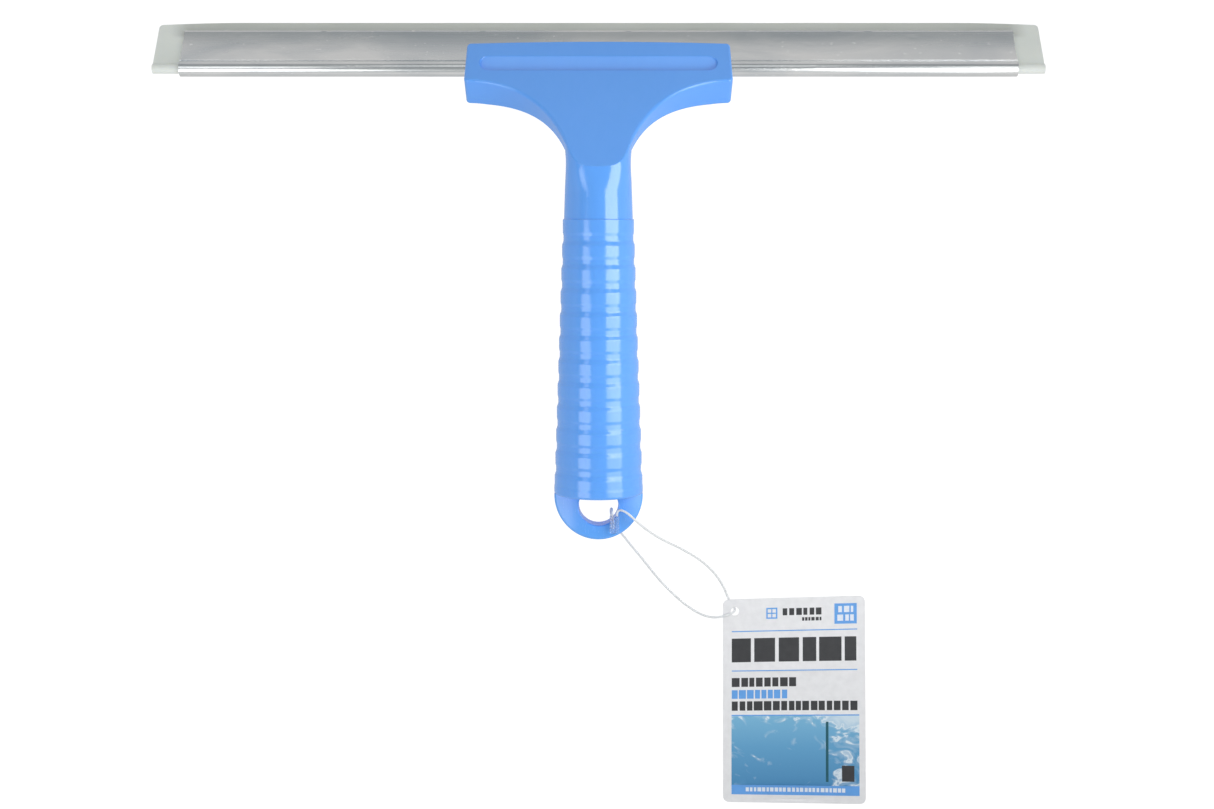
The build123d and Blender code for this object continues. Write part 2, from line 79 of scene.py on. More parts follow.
# ---- material helpers ------------------------------------------------------------------------
class Shading:
    """A material under construction: adds nodes and links sockets by name."""

    def __init__(self, name, **sockets):
        self.material = bpy.data.materials.new(name)
        self.material.use_nodes = True
        self.tree = self.material.node_tree
        self.shader = self.tree.nodes["Principled BSDF"]
        for socket, value in sockets.items():
            self.shader.inputs[socket.replace("_", " ")].default_value = value

    def node(self, kind, settings=(), **inputs):
        """Adds a node; an input may be a value or another node's output socket."""
        made = self.tree.nodes.new("ShaderNode" + kind)
        for key, value in dict(settings).items():
            setattr(made, key, value)
        for key, value in inputs.items():
            self.put(made.inputs[key.replace("_", " ")], value)
        return made

    def put(self, socket, value):
        if isinstance(value, bpy.types.NodeSocket):
            self.tree.links.new(value, socket)
        else:
            socket.default_value = value

    def place(self, scale=(1, 1, 1), turn=(0, 0, 0), shift=(0, 0, 0)):
        """Object coordinates, stretched, turned and shifted."""
        where = self.node("TexCoord").outputs["Object"]
        made = self.node("Mapping", Vector=where, Scale=scale, Rotation=turn, Location=shift)
        return made.outputs["Vector"]

    def noise(self, where, scale, detail=3.0, roughness=0.5, distortion=0.0):
        made = self.node(
            "TexNoise", Vector=where, Scale=scale, Detail=detail,
            Roughness=roughness, Distortion=distortion,
        )
        return made.outputs["Fac"]

    def ramp(self, value, *stops):
        """Colour or grey ramp: each stop is a position and a grey level or a colour."""
        made = self.node("ValToRGB", Fac=value)
        elements = made.color_ramp.elements
        while len(elements) < len(stops):
            elements.new(1.0)
        for element, (position, colour) in zip(elements, stops):
            element.position = position
            level = (colour,) * 3 if isinstance(colour, (int, float)) else colour
            element.color = (*level, 1.0)
        return made.outputs["Color"]

    def math(self, operation, first, second=0.0):
        made = self.tree.nodes.new("ShaderNodeMath")
        made.operation = operation
        self.put(made.inputs[0], first)
        self.put(made.inputs[1], second)
        return made.outputs["Value"]

    def blend(self, share, first, second, mode="MIX"):
        """Mixes two colours by share."""
        made = self.tree.nodes.new("ShaderNodeMix")
        made.data_type = "RGBA"
        made.blend_type = mode
        self.put(made.inputs["Factor"], share)
        for socket, value in zip((made.inputs[6], made.inputs[7]), (first, second)):
            self.put(socket, value if isinstance(value, bpy.types.NodeSocket) else (*value, 1.0))
        return made.outputs[2]

    def between(self, value, low, high):
        """Maps 0..1 onto low..high."""
        made = self.node("MapRange", Value=value, To_Min=low, To_Max=high)
        return made.outputs["Result"]

    def fade(self, value, none_at, full_at):
        """0 at one value of a coordinate, 1 at another, smooth between."""
        inputs = {"Value": value, "From Min": none_at, "From Max": full_at}
        made = self.node("MapRange", {"interpolation_type": "SMOOTHSTEP"}, **inputs)
        return made.outputs["Result"]

    def bump(self, height, distance, below=None):
        """One layer of bump, on top of another if below is given."""
        inputs = {"Height": height, "Distance": distance, "Strength": 1.0}
        if below is not None:
            inputs["Normal"] = below
        return self.node("Bump", **inputs).outputs["Normal"]

    def finish(self, **links):
        for socket, value in links.items():
            self.put(self.shader.inputs[socket.replace("_", " ")], value)
        return self.material


# ---- materials -------------------------------------------------------------------------------
def blue_plastic(name, colour, shade, roughness):
    """Glossy moulded polypropylene: slow colour drift, faint flow lines, hairline scratches."""
    look = Shading(name, IOR=1.8, Subsurface_Weight=0.06, Subsurface_Scale=1.2 * MM)
    look.shader.inputs["Subsurface Radius"].default_value = (0.3, 0.6, 1.0)
    drift = look.noise(look.place(), 28.0, detail=2.0)
    flow = look.noise(look.place(scale=(1.0, 0.12, 1.0)), 420.0, detail=2.0, distortion=0.6)
    cloud = look.math("ADD", look.math("MULTIPLY", drift, 0.7), look.math("MULTIPLY", flow, 0.3))
    tint = look.blend(look.ramp(cloud, (0.3, 0.0), (0.7, 1.0)), shade, colour)
    orange_peel = look.noise(look.place(), 900.0, detail=2.0)
    hairs = look.noise(look.place(scale=(30, 1.4, 30), turn=(0, 0, 0.35)), 60.0, detail=1.0)
    scratches = look.ramp(hairs, (0.66, 0.0), (0.70, 1.0), (0.74, 0.0))
    gloss = look.between(look.noise(look.place(), 160.0), roughness - 0.035, roughness + 0.035)
    gloss = look.math("ADD", gloss, look.math("MULTIPLY", scratches, 0.10))
    relief = look.bump(orange_peel, 0.004 * MM)
    relief = look.bump(scratches, -0.002 * MM, below=relief)
    return look.finish(Base_Color=tint, Roughness=gloss, Normal=relief)


def drawn_aluminium():
    """Mill-finish extrusion: lengthwise draw lines, grey-blue clouding, nicks and rubbed spots."""
    look = Shading("drawn_aluminium", Metallic=1.0)
    along = look.place(scale=(0.012, 1.0, 1.0))
    fine_lines = look.noise(along, 2600.0, detail=4.0, roughness=0.7)
    broad_lines = look.noise(along, 500.0, detail=2.0)
    clouds = look.noise(look.place(scale=(0.35, 1.0, 1.0)), 55.0, detail=4.0, distortion=0.8)
    specks = look.noise(look.place(scale=(0.6, 1.0, 1.0)), 900.0, detail=2.0)
    tint = look.ramp(clouds, (0.30, (0.62, 0.645, 0.665)), (0.62, (0.80, 0.80, 0.795)))
    rubbed = look.ramp(specks, (0.69, 0.0), (0.74, 1.0))
    tint = look.blend(rubbed, tint, (0.92, 0.92, 0.92))
    streak = look.math("MULTIPLY", look.math("SUBTRACT", broad_lines, 0.5), 0.20)
    gloss = look.math("ADD", look.between(clouds, 0.29, 0.19), streak)
    relief = look.bump(fine_lines, 0.004 * MM)
    relief = look.bump(specks, 0.006 * MM, below=relief)
    return look.finish(Base_Color=tint, Roughness=gloss, Normal=relief)


LIP_SHADE_FROM = (81.5 * MM, 83.0 * MM)     # Y where the painted shade along the lip begins
LIP_SHADE_ENDS = (147.0 * MM, 139.0 * MM)   # half length over which that painted shade fades out towards the lighter ends


def pale_rubber():
    """Translucent grey-white rubber with a faint sheen, dust and lengthwise cut lines, and painted shade
    that darkens the lip along its middle.
    """
    look = Shading("pale_rubber", IOR=1.52, Subsurface_Weight=0.35, Subsurface_Scale=1.5 * MM)
    look.shader.inputs["Subsurface Radius"].default_value = (1.0, 0.95, 0.8)
    clouds = look.noise(look.place(scale=(0.5, 1.0, 1.0)), 90.0, detail=3.0)
    lines = look.noise(look.place(scale=(0.01, 1.0, 1.0)), 1800.0, detail=3.0)
    dust = look.ramp(look.noise(look.place(), 2400.0, detail=1.0), (0.70, 0.0), (0.76, 1.0))
    tint = look.ramp(clouds, (0.3, (0.80, 0.83, 0.785)), (0.7, (0.86, 0.885, 0.845)))
    tint = look.blend(look.math("MULTIPLY", dust, 0.5), tint, (0.92, 0.92, 0.90))
    parts = look.node("SeparateXYZ", Vector=look.place())
    # Painted shade: the lip is darkened along its middle and left lighter at its ends. This stands in
    # for the shade by the holder and the light through the rubber.
    lip = look.fade(parts.outputs["Y"], *LIP_SHADE_FROM)
    middle = look.fade(look.math("ABSOLUTE", parts.outputs["X"]), *LIP_SHADE_ENDS)
    tint = look.blend(look.math("MULTIPLY", lip, middle), tint, (0.74, 0.735, 0.725), mode="MULTIPLY")
    gloss = look.between(lines, 0.34, 0.50)
    relief = look.bump(lines, 0.006 * MM)
    return look.finish(Base_Color=tint, Roughness=gloss, Normal=relief)


def clear_nylon():
    """Clear fastener nylon, slightly milky, with moulding ripples."""
    look = Shading("clear_nylon", IOR=1.25, Transmission_Weight=0.93)
    ripples = look.noise(look.place(), 1500.0, detail=2.0)
    tint = look.ramp(ripples, (0.3, (0.94, 0.94, 0.96)), (0.7, (0.99, 0.99, 1.0)))
    gloss = look.between(ripples, 0.10, 0.20)
    return look.finish(Base_Color=tint, Roughness=gloss, Normal=look.bump(ripples, 0.01 * MM))


def string_nylon():
    """Drawn nylon strand: milky, with a soft gloss and fine lengthwise variation."""
    look = Shading("string_nylon", IOR=1.53, Transmission_Weight=0.25)
    ripples = look.noise(look.place(), 1200.0, detail=2.0)
    tint = look.ramp(ripples, (0.3, (0.88, 0.89, 0.90)), (0.7, (0.95, 0.96, 0.96)))
    gloss = look.between(ripples, 0.24, 0.38)
    return look.finish(Base_Color=tint, Roughness=gloss, Normal=look.bump(ripples, 0.008 * MM))


def coated_card(name, colour, roughness=0.42):
    """Coated card or a patch of ink on it: paper fibre under a thin gloss, slight ink mottle."""
    look = Shading(name, IOR=1.45)
    fibre = look.noise(look.place(), 3200.0, detail=3.0)
    mottle = look.noise(look.place(), 420.0, detail=3.0)
    lighter = tuple(min(1.0, channel * 1.06 + 0.006) for channel in colour)
    tint = look.blend(look.ramp(mottle, (0.3, 0.0), (0.7, 1.0)), colour, lighter)
    gloss = look.between(mottle, roughness - 0.05, roughness + 0.05)
    return look.finish(Base_Color=tint, Roughness=gloss, Normal=look.bump(fibre, 0.004 * MM))


# ---- blade frame: t runs from the rubber's lip towards the grip, h out of the flat face --------
def record_mount(name):
    return next(mount for mount in frame["record"]["mounts"] if mount["name"] == name)


LIP = Vector(record_mount("wiping_edge")["pos_m"])
TO_LIP = Vector(record_mount("wiping_edge")["axis"])
ALONG = Vector((1, 0, 0))
OUT = ALONG.cross(TO_LIP)
CHANNEL_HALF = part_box("blade_channel")[1].x
RUBBER_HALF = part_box("rubber_blade")[1].x

CHANNEL_EDGE = 4.4 * MM       # the holder's open edge, from the lip
CREST_AT = 5.1 * MM           # where the bevel at the open edge meets the hollowed flank
BEAD_AT = 19.95 * MM
BEAD_RADIUS = 2.6 * MM
SEAT_RADIUS = 1.7 * MM
VALLEY_HEIGHT = 1.9 * MM
BAND_HEIGHT = 2.2 * MM
FLANK_HOLLOW = 0.50 * MM
SEAM_WIDTH = 0.45 * MM        # the fold line between the flank and the bead
SEAM_DEPTH = 0.42 * MM
SEAM_LOWEST = 0.35            # share of the seam's width from its lowest line to the bead
HALF_GAP = 0.91 * MM
HALF_RUBBER = 0.85 * MM
LIP_CORNER = 1.6 * MM


def on_blade(x, t, h):
    """A point of the blade, in the model's frame."""
    return LIP + ALONG * x - TO_LIP * t + OUT * h


def arc_points(centre, radius, start, end, count):
    """Points of an arc in the (t, h) plane, angles in degrees."""
    points = []
    for index in range(count + 1):
        angle = math.radians(start + (end - start) * index / count)
        points.append((centre[0] + radius * math.cos(angle), centre[1] + radius * math.sin(angle)))
    return points


def new_piece(name, points, faces, materials, body, sharp=35):
    """A smooth-shaded mesh piece with outward normals that rides on a body."""
    mesh = bpy.data.meshes.new(name)
    mesh.from_pydata(points, [], faces)
    tidy = bmesh.new()
    tidy.from_mesh(mesh)
    bmesh.ops.recalc_face_normals(tidy, faces=tidy.faces)
    tidy.to_mesh(mesh)
    tidy.free()
    for material in materials:
        mesh.materials.append(material)
    mesh.shade_smooth()
    mesh.set_sharp_from_angle(angle=math.radians(sharp))
    piece = bpy.data.objects.new(name, mesh)
    bpy.context.scene.collection.objects.link(piece)
    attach(piece, body)
    return piece


def along_blade(stations, section, place):
    """Points and faces of a closed skin whose section is carried along X."""
    points = [place(x, *corner) for x in stations for corner in section]
    count = len(section)
    faces = []
    for first in range(0, (len(stations) - 1) * count, count):
        for index in range(count):
            after = (index + 1) % count
            faces.append((first + index, first + count + index, first + count + after, first + after))
    last = (len(stations) - 1) * count
    faces.append(tuple(range(count)))
    faces.append(tuple(range(last, last + count)))
    return points, faces


def even_steps(low, high, step):
    count = max(1, round((high - low) / step))
    return [low + (high - low) * index / count for index in range(count + 1)]


# ---- aluminium holder ------------------------------------------------------------------------
HOLDER_STEP = 0.9 * MM        # spacing of its sections along X
WAVE_DEPTH = 0.012 * MM       # slight waviness of the extrusion
DENT_DEPTH = 0.09 * MM        # shallow dents, where the noise passes the threshold
DENT_THRESHOLD = 0.42


def holder_half_section():
    """Outside of the holder's front half, from its open edge round to the bead's far side."""
    points = [(CHANNEL_EDGE, HALF_GAP), (CHANNEL_EDGE, 1.60 * MM), (CHANNEL_EDGE + 0.12 * MM, 1.85 * MM)]
    points += [(CHANNEL_EDGE + 0.35 * MM, 2.06 * MM), (CREST_AT, BAND_HEIGHT)]
    valley_at = BEAD_AT - math.sqrt(BEAD_RADIUS**2 - VALLEY_HEIGHT**2)
    seam_at = valley_at - SEAM_WIDTH
    for t in even_steps(CREST_AT, seam_at, 0.4 * MM)[1:]:
        share = (t - CREST_AT) / (seam_at - CREST_AT)
        straight = BAND_HEIGHT + (VALLEY_HEIGHT - BAND_HEIGHT) * share
        points.append((t, straight - FLANK_HOLLOW * 4 * share * (1 - share)))
    points.append((valley_at - SEAM_WIDTH * SEAM_LOWEST, VALLEY_HEIGHT - SEAM_DEPTH))
    start = 180 - math.degrees(math.asin(VALLEY_HEIGHT / BEAD_RADIUS))
    points += arc_points((BEAD_AT, 0), BEAD_RADIUS, start, 0, 26)
    return points


def holder_section():
    front = holder_half_section()
    back = [(t, -h) for t, h in reversed(front[:-1])]
    reach = math.degrees(math.asin(HALF_GAP / SEAT_RADIUS))
    seat = arc_points((BEAD_AT, 0), SEAT_RADIUS, -180 + reach, 180 - reach, 24)
    return front + back + seat


def holder_point(x, t, h):
    """Adds shallow dents and a slight waviness to the outside of the extrusion."""
    outside = math.hypot(t - BEAD_AT, h) > SEAT_RADIUS + 0.3 * MM and abs(h) > HALF_GAP + 0.2 * MM
    if not outside:
        return on_blade(x, t, h)
    wave = noise.noise(Vector((x * 35, t * 90, 4.0 + h * 90)))
    dent = max(0.0, noise.noise(Vector((x * 240, t * 420, h * 420 + 9.0))) - DENT_THRESHOLD)
    depth = WAVE_DEPTH * wave - DENT_DEPTH * dent
    return on_blade(x, t, h + math.copysign(depth, h))


def add_holder():
    stations = even_steps(-CHANNEL_HALF, CHANNEL_HALF, HOLDER_STEP)
    points, faces = along_blade(stations, holder_section(), holder_point)
    piece = new_piece(
        "holder_extrusion", points, faces, [drawn_aluminium()], "handle", sharp=32
    )
    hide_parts("blade_channel")


# ---- rubber strip ----------------------------------------------------------------------------
LIP_END_DROP = 1.0 * MM       # the lip's ends fall back a little from a straight line
LIP_DROP_START = 0.80         # share of the half length where that starts
RIB_HALF_WIDTH = 0.12 * MM    # fine lines moulded along the lip
RIB_DEPTH = 0.035 * MM


def rubber_section():
    bulb_radius = SEAT_RADIUS - 0.06 * MM
    edge = 0.16 * MM
    front = [(0.0, HALF_RUBBER - 2 * edge), (edge * 0.3, HALF_RUBBER - edge * 0.7), (edge, HALF_RUBBER)]
    for rib in even_steps(1.0 * MM, 3.8 * MM, 0.7 * MM):
        front.append((rib - RIB_HALF_WIDTH, HALF_RUBBER))
        front.append((rib, HALF_RUBBER - RIB_DEPTH))
        front.append((rib + RIB_HALF_WIDTH, HALF_RUBBER))
    reach = math.degrees(math.asin(HALF_RUBBER / bulb_radius))
    front += even_flat(5.0 * MM, BEAD_AT - bulb_radius * math.cos(math.radians(reach)), 1.2 * MM)
    bulb = arc_points((BEAD_AT, 0), bulb_radius, 180 - reach, -180 + reach, 22)
    back = [(t, -h) for t, h in reversed(front)]
    return front + bulb[1:-1] + back


def even_flat(low, high, step):
    return [(t, HALF_RUBBER) for t in even_steps(low, high, step)]


def rubber_point(x, t, h):
    """Rounds the lip's two end corners, lets its ends fall back and adds a slight ripple."""
    near_lip = max(0.0, 1 - t / (6 * MM))
    share = max(0.0, abs(x) / RUBBER_HALF - LIP_DROP_START) / (1 - LIP_DROP_START)
    drop = LIP_END_DROP * share**2 * near_lip
    into_corner = abs(x) - (RUBBER_HALF - LIP_CORNER)
    if into_corner > 0:
        rounding = LIP_CORNER - math.sqrt(max(0.0, LIP_CORNER**2 - into_corner**2))
        drop += max(0.0, rounding - t)
    ripple = 0.05 * MM * noise.noise(Vector((x * 60, 2.0, 5.0))) * near_lip
    return on_blade(x, t + drop, h + ripple)


def add_rubber():
    fine_end = even_steps(RUBBER_HALF - LIP_CORNER, RUBBER_HALF, 0.2 * MM)
    middle = even_steps(-RUBBER_HALF + LIP_CORNER, RUBBER_HALF - LIP_CORNER, 2.0 * MM)
    stations = [-x for x in reversed(fine_end[1:])] + middle + fine_end[1:]
    points, faces = along_blade(stations, rubber_section(), rubber_point)
    piece = new_piece("rubber_strip", points, faces, [pale_rubber()], "blade", sharp=40)
    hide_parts("rubber_blade")


# ---- string, lock and barb ---------------------------------------------------------------------
STRING_DIAMETER = 0.8 * MM
STRING_ROUTE = [
    (6.1, -79.8, 19.1),
    (6.1, -78.60, 19.20),
    (7.0, -77.6, 19.2),
    (9.3, -78.5, 19.4),
    (12.4, -81.4, 19.0),
    (16.4, -84.9, 17.1),
    (21.8, -88.4, 13.2),
    (27.7, -91.4, 9.0),
    (34.7, -95.7, 4.6),
    (40.0, -100.8, 1.5),
    (42.9, -105.4, 0.45),
    (44.3, -109.2, 0.45),
    (46.4, -112.3, 0.5),
    (46.7, -113.6, 2.1),
    (43.6, -114.9, 2.25),
    (39.4, -115.9, 2.15),
    (34.2, -114.6, 0.45),
    (28.1, -110.3, 0.45),
    (21.2, -103.6, 0.5),
    (15.2, -96.0, 1.1),
    (11.0, -90.9, 2.2),
    (7.6, -86.6, 4.0),
    (5.0, -82.7, 6.4),
    (4.1, -79.4, 9.4),
    (4.1, -77.8, 12.9),
    (4.4, -77.5, 16.3),
    (4.5, -78.21, 19.24),
    (4.5, -79.8, 19.1),
]


def add_string(material):
    """The nylon loop: one smooth strand from the lock, through the card's hole, and back."""
    curve = bpy.data.curves.new("loop_string", "CURVE")
    curve.dimensions = "3D"
    curve.bevel_depth = STRING_DIAMETER / 2
    curve.bevel_resolution = 5
    curve.resolution_u = 10
    curve.use_fill_caps = True
    spline = curve.splines.new("NURBS")
    spline.points.add(len(STRING_ROUTE) - 1)
    for point, place in zip(spline.points, STRING_ROUTE):
        point.co = (*(value * MM for value in place), 1.0)
    spline.order_u = 3
    spline.use_endpoint_u = True
    curve.materials.append(material)
    strand = bpy.data.objects.new("loop_string", curve)
    bpy.context.scene.collection.objects.link(strand)
    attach(strand, "tag_loop")
    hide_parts("tag_string")
    return strand


# ---- swing tag ---------------------------------------------------------------------------------
TAG_LOW, TAG_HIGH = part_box("swing_tag")
TAG_WIDTH = TAG_HIGH.x - TAG_LOW.x
TAG_HEIGHT = TAG_HIGH.y - TAG_LOW.y
TAG_CORNER = 2.0 * MM
HOLE_AT = (4.1 * MM, 4.2 * MM)          # from the card's left and top edges
HOLE_RADIUS = 1.45 * MM
CARD_THICKNESS = TAG_HIGH.z - TAG_LOW.z
TOP_EDGE_SKEW = 1.5 * MM                # the top edge climbs to the right by this
CURL_HEIGHT = 3.2 * MM                  # lift of the lower right corner

CARD_GRID = 2.4 * MM                    # mesh points inside the card, so that it can curl
CARD_MARGIN = 1.2 * MM                  # between that grid and the card's edges

WHITE, DARK, BLUE, PALE, PICTURE, GREEN = range(6)


def card_point(u, v, level=0.0):
    """A point of the curled card: u from its left edge, v down from its top edge."""
    across = u / TAG_WIDTH
    down = v / TAG_HEIGHT
    x = TAG_LOW.x + u
    y = TAG_HIGH.y - v + TOP_EDGE_SKEW * (across - 0.5) * (1 - down)
    lift = CURL_HEIGHT * across**2 * (0.35 + 0.65 * down)
    return Vector((x, y, TAG_LOW.z + lift + level))


def greeked_row(left, right, top, bottom, ink, seed, gap=0.28):
    """A row of plain bars that stands for a line of print."""
    dice = random.Random(seed)
    height = bottom - top
    boxes = []
    start = left
    while start < right - 0.3 * height:
        width = min(height * dice.uniform(0.55, 0.95), right - start)
        boxes.append((start, top, start + width, bottom, ink))
        start += width + height * gap * dice.uniform(0.7, 1.3)
    return boxes


def print_layout():
    """Printed boxes in mm from the card's top left: left, top, right, bottom and ink."""
    boxes = [(38.0, 2.4, 45.6, 9.3, BLUE)]
    boxes += greeked_row(39.3, 44.4, 3.3, 5.4, PALE, seed=1)
    boxes += greeked_row(39.0, 44.6, 6.2, 8.3, PALE, seed=2)
    boxes += [(14.8, 3.3, 18.6, 7.1, BLUE), (15.3, 3.8, 16.5, 5.0, WHITE), (16.9, 3.8, 18.1, 5.0, WHITE)]
    boxes += [(15.3, 5.4, 16.5, 6.6, WHITE), (16.9, 5.4, 18.1, 6.6, WHITE)]
    boxes += greeked_row(20.4, 33.6, 3.6, 6.0, DARK, seed=3)
    boxes += greeked_row(27.0, 33.6, 6.8, 8.0, DARK, seed=4)
    boxes += [(3.0, 11.0, 45.7, 11.35, BLUE), (3.0, 24.6, 45.7, 24.95, BLUE)]
    boxes += greeked_row(3.0, 45.4, 13.6, 21.8, DARK, seed=5, gap=0.12)
    boxes += greeked_row(3.0, 26.0, 27.2, 30.3, DARK, seed=6, gap=0.16)
    boxes += greeked_row(3.0, 22.6, 31.4, 34.4, BLUE, seed=7, gap=0.16)
    boxes += greeked_row(3.0, 46.0, 35.3, 38.5, DARK, seed=8, gap=0.16)
    boxes += [(2.9, 39.9, 46.3, 40.3, BLUE), (2.9, 40.3, 46.3, 64.0, PICTURE)]
    boxes += [(35.0, 42.4, 35.9, 62.8, GREEN), (2.9, 64.0, 46.3, 67.3, BLUE)]
    boxes += [(40.4, 57.2, 44.6, 62.6, DARK)]
    boxes += greeked_row(7.8, 41.5, 64.9, 66.3, PALE, seed=9, gap=0.3)
    return [(*(side * MM for side in box[:4]), box[4]) for box in boxes]


def card_outline():
    """Rounded rectangle in (u, v), corner by corner."""
    corners = [
        (TAG_CORNER, TAG_CORNER, 180),
        (TAG_WIDTH - TAG_CORNER, TAG_CORNER, 270),
        (TAG_WIDTH - TAG_CORNER, TAG_HEIGHT - TAG_CORNER, 0),
        (TAG_CORNER, TAG_HEIGHT - TAG_CORNER, 90),
    ]
    points = []
    for u, v, start in corners:
        points += arc_points((u, v), TAG_CORNER, start, start + 90, 6)
    return points


def loop_edges(first, count):
    return [(first + index, first + (index + 1) % count) for index in range(count)]


def card_plan(boxes):
    """Flat triangles of the card whose edges follow its outline, hole and print."""
    outline = card_outline()
    hole = arc_points(HOLE_AT, HOLE_RADIUS, 0, 345, 23)
    points = list(outline)
    edges = loop_edges(0, len(outline))
    edges += loop_edges(len(points), len(hole))
    points += hole
    for left, top, right, bottom, _ in boxes:
        edges += loop_edges(len(points), 4)
        points += [(left, top), (right, top), (right, bottom), (left, bottom)]
    for u in even_steps(CARD_MARGIN, TAG_WIDTH - CARD_MARGIN, CARD_GRID):
        for v in even_steps(CARD_MARGIN, TAG_HEIGHT - CARD_MARGIN, CARD_GRID):
            if math.dist((u, v), HOLE_AT) > HOLE_RADIUS + 0.4 * MM:
                points.append((u, v))
    flat = [Vector(point) for point in points]
    made = delaunay_2d_cdt(flat, edges, [], 0, 1e-7)
    corners, triangles = made[0], made[2]
    kept = []
    for triangle in triangles:
        middle = sum((corners[index] for index in triangle), Vector((0, 0))) / 3
        if math.dist(middle, HOLE_AT) > HOLE_RADIUS * 0.98:
            kept.append((tuple(triangle), ink_at(middle, boxes)))
    return corners, kept


def ink_at(place, boxes):
    """The last printed box that covers a place, or plain card."""
    ink = WHITE
    for left, top, right, bottom, colour in boxes:
        if left < place.x < right and top < place.y < bottom:
            ink = colour
    return ink


def rim_edges(triangles):
    """Edges that belong to one triangle only."""
    seen = {}
    for triangle, _ in triangles:
        for first, second in zip(triangle, triangle[1:] + triangle[:1]):
            seen.setdefault(frozenset((first, second)), []).append((first, second))
    return [uses[0] for uses in seen.values() if len(uses) == 1]


def glass_picture():
    """Printed picture: a wiped blue pane with foam along its edges and to its right."""
    look = Shading("print_picture", IOR=1.45, Roughness=0.38)
    corner = card_point(0, 0)
    where = look.place(shift=(-corner.x, -corner.y, 0))
    parts = look.node("SeparateXYZ", Vector=where)
    across = look.math("DIVIDE", parts.outputs["X"], TAG_WIDTH)
    down = look.math("DIVIDE", parts.outputs["Y"], -TAG_HEIGHT)
    pane = look.ramp(
        down, (0.58, (0.20, 0.47, 0.69)), (0.72, (0.125, 0.36, 0.60)), (0.92, (0.07, 0.255, 0.49))
    )
    stretched = look.place(scale=(0.8, 1.2, 1.0))
    swirl = look.noise(stretched, 150.0, detail=4.0, roughness=0.5, distortion=1.6)
    right = look.ramp(across, (0.72, 0.0), (0.80, 0.17), (1.0, 0.20))
    top = look.ramp(down, (0.58, 0.20), (0.63, -0.15))
    bottom = look.ramp(down, (0.89, -0.15), (0.93, 0.20))
    reach = look.math("ADD", look.math("ADD", right, top), bottom)
    foam_level = look.math("ADD", swirl, reach)
    foam = look.ramp(foam_level, (0.60, 0.0), (0.70, 0.25), (0.74, 0.9), (0.80, 0.45), (1.0, 0.7))
    return look.finish(Base_Color=look.blend(foam, pane, (0.82, 0.88, 0.92)))


def card_materials():
    return [
        coated_card("card_white", (0.80, 0.79, 0.80)),
        coated_card("print_dark", (0.045, 0.045, 0.048), roughness=0.36),
        coated_card("print_blue", (0.13, 0.36, 0.78), roughness=0.38),
        coated_card("print_pale", (0.76, 0.80, 0.88)),
        glass_picture(),
        coated_card("print_green", (0.015, 0.10, 0.13), roughness=0.36),
    ]


def add_tag():
    corners, triangles = card_plan(print_layout())
    count = len(corners)
    points = [card_point(*corner, level=CARD_THICKNESS) for corner in corners]
    points += [card_point(*corner) for corner in corners]
    faces = [triangle for triangle, _ in triangles]
    faces += [tuple(count + index for index in reversed(triangle)) for triangle, _ in triangles]
    faces += [(second, first, first + count, second + count) for first, second in rim_edges(triangles)]
    piece = new_piece("printed_tag", points, faces, card_materials(), "tag")
    for polygon, (_, ink) in zip(piece.data.polygons, triangles):
        polygon.material_index = ink
    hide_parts("swing_tag")


# ---- put it together -----------------------------------------------------------------------------
HANDLE_BLUE = (0.118, 0.392, 1.0)
HANDLE_SHADE = (0.106, 0.374, 0.97)
LOOP_BLUE = (0.112, 0.400, 1.0)
LOOP_SHADE = (0.100, 0.380, 0.97)


def paint(node, material):
    """Gives a CAD node its finished material."""
    piece = frame["nodes"][node]
    piece.data.materials.clear()
    piece.data.materials.append(material)


paint("handle_body", blue_plastic("handle_blue", HANDLE_BLUE, HANDLE_SHADE, 0.15))
paint("hang_loop_plug", blue_plastic("loop_blue", LOOP_BLUE, LOOP_SHADE, 0.20))
nylon = clear_nylon()
paint("string_lock", nylon)
paint("string_barb", nylon)
add_holder()
add_rubber()
string = add_string(string_nylon())
add_tag()


# ---- floor, lights and backdrop ------------------------------------------------------------------
FLOOR_WHITE = 0.95                   # glow that brings the bare table up to plain white
FLOOR_GLOW = 0.50                    # the softer glow that the object receives from it
FLOOR_HALF = 2.5                     # half its side


def add_floor():
    """Plain white table top."""
    mesh = bpy.data.meshes.new("floor")
    signs = [(-1, -1), (1, -1), (1, 1), (-1, 1)]
    corners = [(FLOOR_HALF * x, FLOOR_HALF * y, 0) for x, y in signs]
    mesh.from_pydata(corners, [], [(0, 1, 2, 3)])
    floor = bpy.data.objects.new("floor", mesh)
    floor.location.z = TABLE_Z - 0.02 * MM
    bpy.context.scene.collection.objects.link(floor)
    look = Shading("floor_white", Base_Color=(0.2, 0.2, 0.2, 1), Roughness=0.7)
    look.shader.inputs["Specular IOR Level"].default_value = 0.1
    look.shader.inputs["Emission Color"].default_value = (1, 1, 1, 1)
    seen = look.node("LightPath").outputs["Is Camera Ray"]
    look.put(look.shader.inputs["Emission Strength"], look.between(seen, FLOOR_GLOW, FLOOR_WHITE))
    mesh.materials.append(look.material)


RIGHT_PANEL_AT = (0.1448, 0.2025)    # X and Z of the steep panels' middle line
RIGHT_PANEL_AIM = (-0.029, 0.160)    # X and Z that they face
RIGHT_PANEL_HEIGHT = 0.211
RIGHT_PANELS = [                     # name, middle Y, length along Y, radiance
    ("right_softbox_loop", -0.125, 0.060, 1.4),
    ("right_softbox_grip", -0.065, 0.060, 2.1),
    ("right_softbox_neck", 0.0100, 0.090, 2.8),
]
LEFT_AT = (-0.207, -0.140, 0.282)
LEFT_AIM = (-0.010, -0.140, 0.030)
LEFT_SIZE = (0.28, 0.20)
LEFT_RADIANCE = 1.45
BACK_PANEL_Z = 0.30
BACK_PANELS = [                      # name, X, Y, size, radiance: the bead's two ends and the recess
    ("back_softbox_left", -0.197, 0.120, (0.096, 0.12), 1.05),
    ("back_softbox_right", 0.215, 0.130, (0.080, 0.14), 0.95),
    ("back_softbox_middle", 0.0, 0.243, (0.25, 0.10), 0.62),
]


